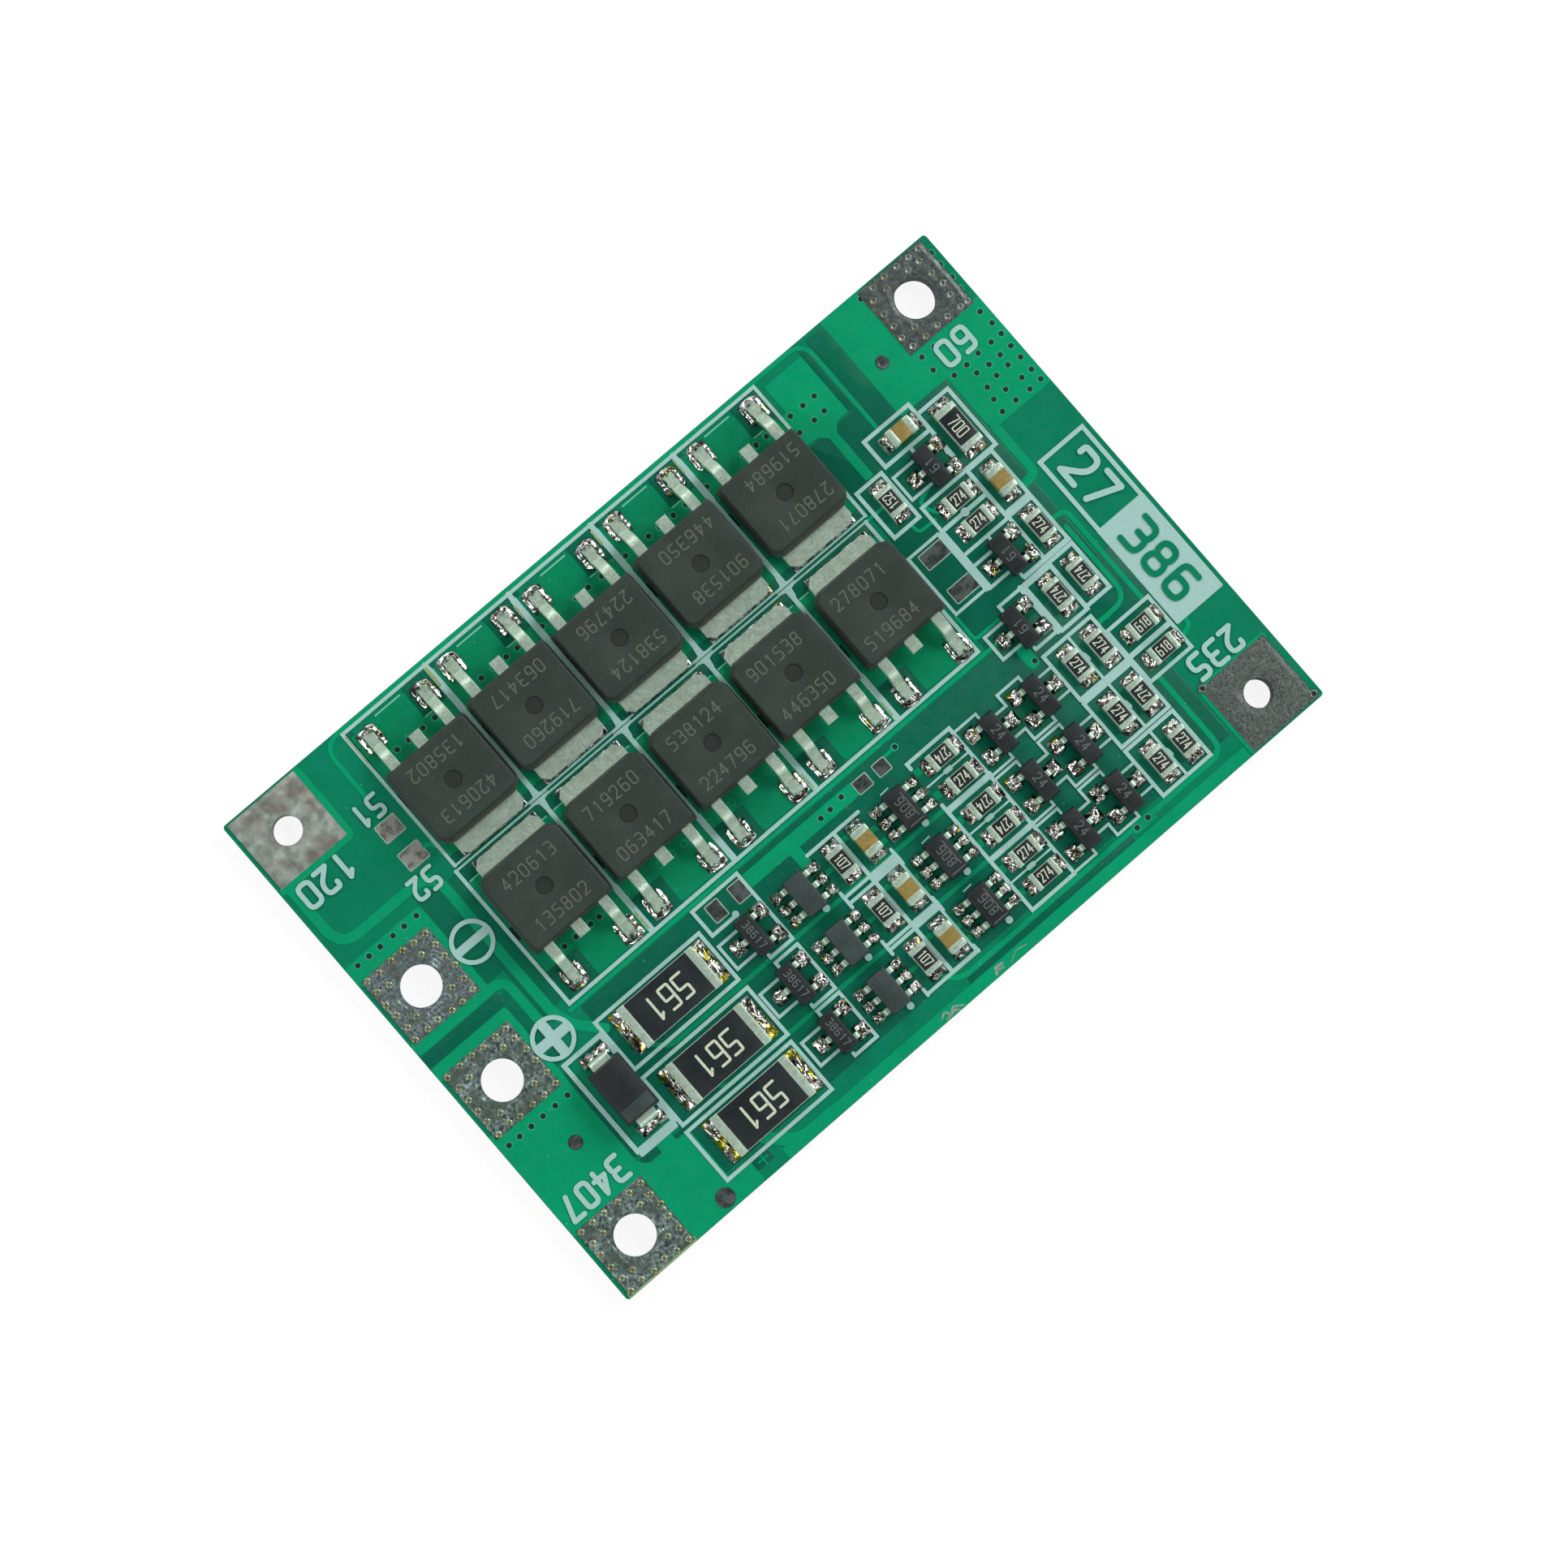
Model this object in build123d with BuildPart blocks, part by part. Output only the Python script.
# Battery management board for three cells in series.
# A flat laminate with six plated wire terminals carries two rows of power transistors,
# three large balance resistors, a clamp diode and three like channels of small parts.
# The origin is the centre of the underside, +X runs along the board and +Z is the populated side.
from build123d import *
import os
from math import cos, radians, sin

os.makedirs("parts", exist_ok=True)

# Board
board_length = 60.0
board_width = 40.0
board_thickness = 1.2
corner_radius = 0.25

# Plated wire terminals: a square land above, a solder-coated barrel, a smaller square land below
land_length = 5.5
land_width = 5.4
foil_thickness = 0.07
barrel_wall = 0.2
lower_land_length = 4.6
tap_hole_radius = 1.0
main_hole_radius = 1.4
left_land_inset = 0.3
right_land_inset = 0.5
corner_land_inset = 0.15
output_minus_y = 3.95
output_plus_y = -4.05

# Power transistor: moulded body, solder tab, two formed leads and a middle lead that is cut short
power_body_width = 6.6
power_body_length = 6.15
power_body_height = 2.3
power_standoff = 0.06
power_parting_height = 1.0
power_side_setback = 0.2
power_foot_setback = 0.1
power_tab_setback = 0.32
power_mark_radius = 0.57
power_mark_depth = 0.12
power_tab_width = 5.4
power_tab_reach = 1.2
power_tab_thickness = 0.5
power_tab_cut = 0.45
power_tab_inside = 1.0
power_lead_width = 0.8
power_lead_thickness = 0.5
power_lead_spread = 4.57
power_lead_reach = 2.95
power_lead_shoulder = 0.9
power_lead_foot = 1.3
power_lead_bend = 0.3
power_lead_root = 0.5
power_stub_reach = 0.95
power_stub_width = 0.84

# Two rows of power transistors with their tabs facing each other
transistors_in_row = 5
transistor_gap = 0.45
tab_gap = 0.69
# How far each transistor sits from its even place, as hand placing left them
upper_row_slips = [(0.0, -0.24), (-0.07, 0.0), (-0.13, -0.26), (-0.07, 0.0), (0.04, 0.0)]
lower_row_slips = [(-0.03, 0.04), (-0.03, 0.04), (-0.02, 0.0), (-0.14, 0.0), (0.02, -0.08)]

# Small transistor with three leads
small_body_width = 1.3
small_body_length = 2.9
small_body_height = 1.1
small_lead_span = 2.4
small_lead_width = 0.42
small_lead_pitch = 0.95

# Small circuit with six leads
chip_body_width = 1.6
chip_body_length = 2.9
chip_body_height = 1.15
chip_lead_span = 2.8
chip_lead_width = 0.42
chip_lead_pitch = 0.95

# Common to the small moulded packages
moulding_standoff = 0.08
moulding_draft = 8.0
parting_share = 0.5
strip_thickness = 0.15
strip_foot = 0.3
strip_lean = 0.08
strip_root = 0.2

# Thick-film resistors
resistor_length = 2.0
resistor_width = 1.25
resistor_height = 0.5
resistor_cap = 0.4
link_length = 3.2
link_width = 1.6
link_height = 0.55
link_cap = 0.5
balance_length = 6.4
balance_width = 3.2
balance_height = 0.62
balance_cap = 0.62
cap_proud = 0.02
coating_thickness = 0.05
coating_inset = 0.06

# Ceramic capacitors
capacitor_length = 2.0
capacitor_width = 1.25
capacitor_height = 0.9
capacitor_band = 0.5
capacitor_edge_cut = 0.11

# Clamp diode
diode_body_length = 4.2
diode_body_width = 2.6
diode_body_height = 2.2
diode_parting_height = 1.1
diode_standoff = 0.15
diode_draft = 7.0
strap_width = 1.45
strap_thickness = 0.2
strap_span = 5.0
strap_foot = 1.2
strap_bend = 0.25

# Gaps from the left terminals to the right board edge, across the power transistors
row_gap = 4.14
gate_resistor_gap = 1.25
column_gap = 1.68
outer_gap = 1.1
right_edge_gap = 5.98

# Gaps from the left terminals to the second tap terminal, across the three channels
diode_land_gap = 1.46
balance_gap = 1.59
switch_gap = 2.33
controller_gap = 1.59
filter_gap = 1.18
filter_capacitor_gap = 0.85
monitor_gap = 1.2
sense_gap = 1.76
level_gap = 1.49
second_level_gap = 1.31
pull_gap = 1.37
pull_pair_gap = 0.76
pull_land_gap = 2.51
divider_gap = 1.37

# Gaps from the lower board edge to the upper one, across the channels and the power transistors
lowest_channel_gap = 2.61
channel_gap = 1.22
rows_channel_gap = 3.765
upper_edge_gap = 1.195

# Gaps from the lower board edge to the power transistors, across the balance resistors
lowest_balance_gap = 2.18
lower_balance_gap = 1.2
upper_balance_gap = 1.6
rows_balance_gap = 2.935

# Gaps from the channels up to the upper right terminal, along the right column
tail_gap = 2.36
second_logic_gap = 1.655
lower_bias_gap = 0.86
bias_pair_gap = 0.71
first_logic_gap = 0.64
delay_gap = 0.93
delay_land_gap = 2.805

# Places taken from a neighbour
diode_drop = 2.54
switch_raise = 0.14
sense_pair_gap = 0.72
level_drop = 0.26
pull_drop = 0.36
divider_drop = 2.13
divider_pair_gap = 0.85
link_drop = 2.15
snubber_gap = 1.88
bleed_gap = 1.92
tail_pair_gap = 0.84
third_logic_gap = 1.54

# Worked out from the values above
board_top = board_thickness
across = 90.0
about = 180.0
along_up = Vector(0, 0, 1)


def seat(x, y, turn=0.0):
    """Plane on the board's upper face, turned about the vertical by an angle in degrees."""
    heading = (cos(radians(turn)), sin(radians(turn)), 0)
    return Plane(origin=(x, y, board_top), x_dir=heading, z_dir=along_up)


def upright(base, outward, place=(0.0, 0.0)):
    """Upright plane through a place on a seat: its own X points outward and its own Y points up."""
    return Plane(
        origin=base.from_local_coords((place[0], place[1], 0)), x_dir=outward, z_dir=outward.cross(along_up)
    )


def spread(start, end, items, last_gap):
    """Middles of items, each a (gap before it, width), with all gaps eased alike to fill start to end."""
    gaps = sum(gap for gap, _ in items) + last_gap
    ease = (end - start - sum(width for _, width in items)) / gaps
    middles = []
    edge = start
    for gap, width in items:
        edge += gap * ease
        middles.append(edge + width / 2)
        edge += width
    return middles


def keep(node_name, piece):
    """Label a finished piece and write its file."""
    piece.label = node_name
    export_step(piece, "parts/" + node_name + ".step")


def power_transistor(base):
    """Moulded power transistor with its leads on the seat's +Y side and its tab on the -Y side."""
    half_length = power_body_length / 2
    half_width = power_body_width / 2
    lead_top = power_parting_height + power_lead_thickness
    with BuildPart() as transistor:
        # Side view of the body: the tab face leans back, the lead face leans both ways from the parting line
        with BuildSketch(upright(base, base.y_dir)):
            with BuildLine():
                Polyline(
                    (-half_length, power_standoff),
                    (half_length - power_foot_setback, power_standoff),
                    (half_length, power_parting_height),
                    (half_length - power_side_setback, power_body_height),
                    (power_tab_setback - half_length, power_body_height),
                    (-half_length, power_tab_thickness),
                    close=True,
                )
            make_face()
        extrude(amount=half_width, both=True)
        # End view of the body, kept where both views agree
        with BuildSketch(upright(base, base.x_dir)):
            with BuildLine():
                Polyline(
                    (power_foot_setback - half_width, power_standoff),
                    (half_width - power_foot_setback, power_standoff),
                    (half_width, power_parting_height),
                    (half_width - power_side_setback, power_body_height),
                    (power_side_setback - half_width, power_body_height),
                    (-half_width, power_parting_height),
                    close=True,
                )
            make_face()
        extrude(amount=half_length, both=True, mode=Mode.INTERSECT)
        # Round depression left by the mould's pin
        with BuildSketch(base.offset(power_body_height)):
            Circle(power_mark_radius)
        extrude(amount=-power_mark_depth, mode=Mode.SUBTRACT)
        # Solder tab with its outer corners cut, which runs on under the body
        tab_inner = half_length - power_tab_inside
        tab_outer = half_length + power_tab_reach
        with BuildSketch(base):
            with BuildLine():
                Polyline(
                    (-power_tab_width / 2, tab_inner),
                    (power_tab_width / 2, tab_inner),
                    (power_tab_width / 2, power_tab_cut - tab_outer),
                    (power_tab_width / 2 - power_tab_cut, -tab_outer),
                    (power_tab_cut - power_tab_width / 2, -tab_outer),
                    (-power_tab_width / 2, power_tab_cut - tab_outer),
                    close=True,
                )
            make_face()
        extrude(amount=power_tab_thickness)
        # Two leads step down to the board in an S
        for side in (-1, 1):
            with BuildSketch(upright(base, base.y_dir, (side * power_lead_spread / 2, 0))):
                with BuildLine():
                    FilletPolyline(
                        (half_length - power_lead_root, power_parting_height),
                        (half_length + power_lead_shoulder, power_parting_height),
                        (half_length + power_lead_reach - power_lead_foot, 0),
                        (half_length + power_lead_reach, 0),
                        radius=power_lead_bend,
                    )
                    offset(amount=power_lead_thickness, side=Side.LEFT)
                make_face()
            extrude(amount=power_lead_width / 2, both=True)
        # Middle lead, cut short
        with BuildSketch(upright(base, base.y_dir)):
            with BuildLine():
                Polyline(
                    (half_length - power_lead_root, power_parting_height),
                    (half_length + power_stub_reach, power_parting_height),
                    (half_length + power_stub_reach, lead_top),
                    (half_length - power_lead_root, lead_top),
                    close=True,
                )
            make_face()
        extrude(amount=power_stub_width / 2, both=True)
    return transistor.part


def small_package(base, width, length, height, span, lead_width, leads):
    """Moulded body drafted both ways from its parting line; leads lists (side, place along the body)."""
    level = moulding_standoff + (height - moulding_standoff) * parting_share
    foot_start = span / 2 - strip_foot
    with BuildPart() as package:
        with BuildSketch(base.offset(level)):
            Rectangle(width, length)
        extrude(amount=height - level, taper=moulding_draft)
        with BuildSketch(base.offset(level)):
            Rectangle(width, length)
        extrude(amount=moulding_standoff - level, taper=moulding_draft)
        for side, place in leads:
            with BuildSketch(upright(base, base.x_dir * side, (0, place))):
                with BuildLine():
                    Polyline(
                        (width / 2 - strip_root, level),
                        (foot_start - strip_lean, level),
                        (foot_start, 0),
                        (span / 2, 0),
                    )
                    offset(amount=strip_thickness, side=Side.LEFT, kind=Kind.INTERSECTION)
                make_face()
            extrude(amount=lead_width / 2, both=True)
    return package.part


def small_transistor(base):
    """Three-lead transistor, two leads on the seat's -X side and one on its +X side."""
    leads = [(-1, -small_lead_pitch), (-1, small_lead_pitch), (1, 0)]
    return small_package(
        base, small_body_width, small_body_length, small_body_height, small_lead_span, small_lead_width, leads
    )


def six_lead_chip(base):
    """Six-lead circuit, three leads on each of its long sides."""
    leads = [(side, row * chip_lead_pitch) for side in (-1, 1) for row in (-1, 0, 1)]
    return small_package(
        base, chip_body_width, chip_body_length, chip_body_height, chip_lead_span, chip_lead_width, leads
    )


def film_resistor(base, length, width, height, cap):
    """Ceramic slab with metal end caps and a coated upper face, along the seat's X."""
    slab_top = height - coating_thickness
    with BuildPart() as resistor:
        with BuildSketch(base.offset(cap_proud)):
            Rectangle(length - 2 * cap_proud, width - 2 * cap_proud)
        extrude(amount=slab_top - cap_proud)
        with BuildSketch(base):
            with GridLocations(length - cap, 0, 2, 1):
                Rectangle(cap, width)
        extrude(amount=height - cap_proud)
        with BuildSketch(base.offset(slab_top)):
            Rectangle(length - 2 * cap, width - 2 * coating_inset)
        extrude(amount=coating_thickness)
    return resistor.part


def chip_resistor(base):
    """Small resistor of the size used in every channel."""
    return film_resistor(base, resistor_length, resistor_width, resistor_height, resistor_cap)


def chip_capacitor(base):
    """Ceramic block with metal ends whose edges are cut, along the seat's X."""
    length_axis = Axis(base.origin, base.x_dir)
    with BuildPart() as capacitor:
        with BuildSketch(base):
            Rectangle(capacitor_length, capacitor_width)
        extrude(amount=capacitor_height)
        ends = capacitor.faces().sort_by(length_axis)
        chamfer(ends[0].edges() + ends[-1].edges(), capacitor_edge_cut)
        # The block between the metal ends is a little smaller
        middle = capacitor_length - 2 * capacitor_band
        with BuildSketch(base):
            Rectangle(middle, capacitor_width)
            Rectangle(middle, capacitor_width - 2 * cap_proud, mode=Mode.SUBTRACT)
        extrude(amount=capacitor_height, mode=Mode.SUBTRACT)
        for level in (0, capacitor_height - cap_proud):
            with BuildSketch(base.offset(level)):
                Rectangle(middle, capacitor_width)
            extrude(amount=cap_proud, mode=Mode.SUBTRACT)
    return capacitor.part


def strap_diode(base):
    """Moulded diode with two metal straps that fold under its ends, along the seat's X."""
    with BuildPart() as diode:
        for height in (diode_body_height, diode_standoff):
            with BuildSketch(base.offset(diode_parting_height)):
                Rectangle(diode_body_length, diode_body_width)
            extrude(amount=height - diode_parting_height, taper=diode_draft)
        for side in (-1, 1):
            with BuildSketch(upright(base, base.x_dir * side)):
                with BuildLine():
                    FilletPolyline(
                        (strap_span / 2 - strap_foot, 0),
                        (strap_span / 2, 0),
                        (strap_span / 2, diode_parting_height + strap_thickness),
                        (diode_body_length / 2 - strap_thickness, diode_parting_height + strap_thickness),
                        radius=strap_bend,
                    )
                    offset(amount=strap_thickness, side=Side.LEFT)
                make_face()
            extrude(amount=strap_width / 2, both=True)
    return diode.part


def group_of(pieces):
    """Like pieces that share one node and stay separate solids."""
    with BuildPart() as group:
        add(pieces)
    return group.part


# Places of the terminals, worked out from the board's edges
left_land_x = left_land_inset + land_length / 2 - board_length / 2
right_land_x = board_length / 2 - right_land_inset - land_length / 2
corner_land_y = board_width / 2 - corner_land_inset - land_width / 2
terminals = {
    "first_tap_terminal": (left_land_x, corner_land_y, tap_hole_radius),
    "cell_minus_terminal": (right_land_x, corner_land_y, main_hole_radius),
    "second_tap_terminal": (right_land_x, -corner_land_y, tap_hole_radius),
    "cell_plus_terminal": (left_land_x, -corner_land_y, main_hole_radius),
    "output_minus_terminal": (left_land_x, output_minus_y, main_hole_radius),
    "output_plus_terminal": (left_land_x, output_plus_y, main_hole_radius),
}

# Laminate with its terminal holes and the shallow seats of the lower lands
with BuildPart() as board:
    with BuildSketch():
        RectangleRounded(board_length, board_width, corner_radius)
    extrude(amount=board_thickness)
    for x, y, hole_radius in terminals.values():
        with BuildSketch(Plane(origin=(x, y, 0))):
            Circle(hole_radius + barrel_wall)
        extrude(amount=board_thickness, mode=Mode.SUBTRACT)
        with BuildSketch(Plane(origin=(x, y, 0))):
            Rectangle(lower_land_length, lower_land_length)
        extrude(amount=foil_thickness, mode=Mode.SUBTRACT)
keep("board", board.part)

# Plated terminals
for name, (x, y, hole_radius) in terminals.items():
    with BuildPart() as terminal:
        with BuildSketch(Plane(origin=(x, y, board_top))):
            Rectangle(land_length, land_width)
        extrude(amount=foil_thickness)
        with BuildSketch(Plane(origin=(x, y, 0))):
            Circle(hole_radius + barrel_wall)
        extrude(amount=board_thickness)
        with BuildSketch(Plane(origin=(x, y, 0))):
            Rectangle(lower_land_length, lower_land_length)
        extrude(amount=foil_thickness)
        with BuildSketch(Plane(origin=(x, y, 0))):
            Circle(hole_radius)
        extrude(amount=board_thickness + foil_thickness, mode=Mode.SUBTRACT)
    keep(name, terminal.part)

# Places along the board, across the power transistors and across the channels
land_edge_x = left_land_x + land_length / 2
power_pitch = power_body_width + transistor_gap
row_width = transistors_in_row * power_pitch - transistor_gap
rows_x, gate_x, column_x, outer_x = spread(
    land_edge_x,
    board_length / 2,
    [
        (row_gap, row_width),
        (gate_resistor_gap, resistor_width),
        (column_gap, small_lead_span),
        (outer_gap, link_width),
    ],
    right_edge_gap,
)
(
    diode_x, balance_x, switch_x, controller_x, filter_x, filter_capacitor_x,
    monitor_x, sense_x, level_x, second_level_x, pull_x, second_pull_x,
) = spread(
    land_edge_x,
    right_land_x - land_length / 2,
    [
        (diode_land_gap, diode_body_width),
        (balance_gap, balance_length),
        (switch_gap, small_lead_span),
        (controller_gap, chip_lead_span),
        (filter_gap, resistor_width),
        (filter_capacitor_gap, capacitor_width),
        (monitor_gap, chip_lead_span),
        (sense_gap, resistor_length),
        (level_gap, small_lead_span),
        (second_level_gap, small_lead_span),
        (pull_gap, resistor_width),
        (pull_pair_gap, resistor_width),
    ],
    pull_land_gap,
)
outer_edge_x = outer_x - link_width / 2
outer_flat_x = outer_edge_x + resistor_width / 2
tail_x = outer_edge_x - tail_pair_gap - resistor_width / 2
third_logic_x = tail_x - resistor_width / 2 - third_logic_gap - small_lead_span / 2
divider_x = second_pull_x + resistor_width / 2 + divider_gap + resistor_length / 2

# Places across the board, from the lower edge up
row_depth = power_lead_reach + power_body_length + power_tab_reach
rows_depth = 2 * row_depth + tab_gap
lowest_channel_y, middle_channel_y, highest_channel_y, rows_y = spread(
    -board_width / 2,
    board_width / 2,
    [
        (lowest_channel_gap, chip_body_length),
        (channel_gap, chip_body_length),
        (channel_gap, chip_body_length),
        (rows_channel_gap, rows_depth),
    ],
    upper_edge_gap,
)
lowest_balance_y, middle_balance_y, highest_balance_y = spread(
    -board_width / 2,
    rows_y - rows_depth / 2,
    [
        (lowest_balance_gap, balance_width),
        (lower_balance_gap, balance_width),
        (upper_balance_gap, balance_width),
    ],
    rows_balance_gap,
)
tail_y, second_logic_y, lower_bias_y, upper_bias_y, first_logic_y, delay_y = spread(
    highest_channel_y - pull_drop + resistor_length / 2,
    corner_land_y - land_width / 2,
    [
        (tail_gap, resistor_length),
        (second_logic_gap, small_body_length),
        (lower_bias_gap, resistor_width),
        (bias_pair_gap, resistor_width),
        (first_logic_gap, small_body_length),
        (delay_gap, capacitor_width),
    ],
    delay_land_gap,
)
diode_y = highest_balance_y - diode_drop
divider_y = highest_channel_y - divider_drop
link_y = delay_y - link_drop
snubber_y = link_y - link_length / 2 - snubber_gap - capacitor_length / 2
bleed_y = snubber_y - capacitor_length / 2 - bleed_gap - resistor_length / 2

# Two rows of power transistors
row_offset = (power_body_length + tab_gap) / 2 + power_tab_reach
for row_name, slips, y, turn in (
    ("upper_transistor", upper_row_slips, rows_y + row_offset, 0.0),
    ("lower_transistor", lower_row_slips, rows_y - row_offset, about),
):
    for index, (slip_x, slip_y) in enumerate(slips):
        x = rows_x + (index - (transistors_in_row - 1) / 2) * power_pitch
        keep(f"{row_name}_{index + 1}", power_transistor(seat(x + slip_x, y + slip_y, turn)))

# Balance resistors and clamp diode
for index, y in enumerate((highest_balance_y, middle_balance_y, lowest_balance_y)):
    resistor = film_resistor(seat(balance_x, y), balance_length, balance_width, balance_height, balance_cap)
    keep(f"balance_resistor_{index + 1}", resistor)
keep("clamp_diode", strap_diode(seat(diode_x, diode_y, across)))

# Three like channels
sense_offset = (resistor_width + sense_pair_gap) / 2
for index, y in enumerate((highest_channel_y, middle_channel_y, lowest_channel_y)):
    number = index + 1
    keep(f"balance_switch_{number}", small_transistor(seat(switch_x, y + switch_raise, about)))
    keep(f"balance_controller_{number}", six_lead_chip(seat(controller_x, y)))
    keep(f"filter_resistor_{number}", chip_resistor(seat(filter_x, y, across)))
    keep(f"filter_capacitor_{number}", chip_capacitor(seat(filter_capacitor_x, y, across)))
    keep(f"cell_monitor_{number}", six_lead_chip(seat(monitor_x, y)))
    sense_pair = [chip_resistor(seat(sense_x, y + side * sense_offset)) for side in (1, -1)]
    keep(f"sense_resistor_pair_{number}", group_of(sense_pair))
    for letter, x in (("a", level_x), ("b", second_level_x)):
        keep(f"level_transistor_{number}{letter}", small_transistor(seat(x, y - level_drop)))
    pull_pair = [chip_resistor(seat(x, y - pull_drop, across)) for x in (pull_x, second_pull_x)]
    keep(f"pull_resistor_pair_{number}", group_of(pull_pair))

divider_offset = (resistor_width + divider_pair_gap) / 2
divider_pair = [chip_resistor(seat(divider_x, divider_y + side * divider_offset)) for side in (1, -1)]
keep("divider_resistor_pair", group_of(divider_pair))

# Small parts on the right
keep("delay_capacitor", chip_capacitor(seat(column_x, delay_y)))
for number, x, y in ((1, column_x, first_logic_y), (2, column_x, second_logic_y), (3, third_logic_x, tail_y)):
    keep(f"logic_transistor_{number}", small_transistor(seat(x, y, about)))
bias_pair = [chip_resistor(seat(column_x, y)) for y in (upper_bias_y, lower_bias_y)]
keep("bias_resistor_pair", group_of(bias_pair))
keep("gate_resistor", chip_resistor(seat(gate_x, first_logic_y, across)))
link_seat = seat(outer_x, link_y, across)
keep("link_resistor", film_resistor(link_seat, link_length, link_width, link_height, link_cap))
keep("snubber_capacitor", chip_capacitor(seat(outer_flat_x, snubber_y, across)))
keep("bleed_resistor", chip_resistor(seat(outer_flat_x, bleed_y, across)))
tail_pair = [chip_resistor(seat(x, tail_y, across)) for x in (tail_x, outer_flat_x)]
keep("tail_resistor_pair", group_of(tail_pair))
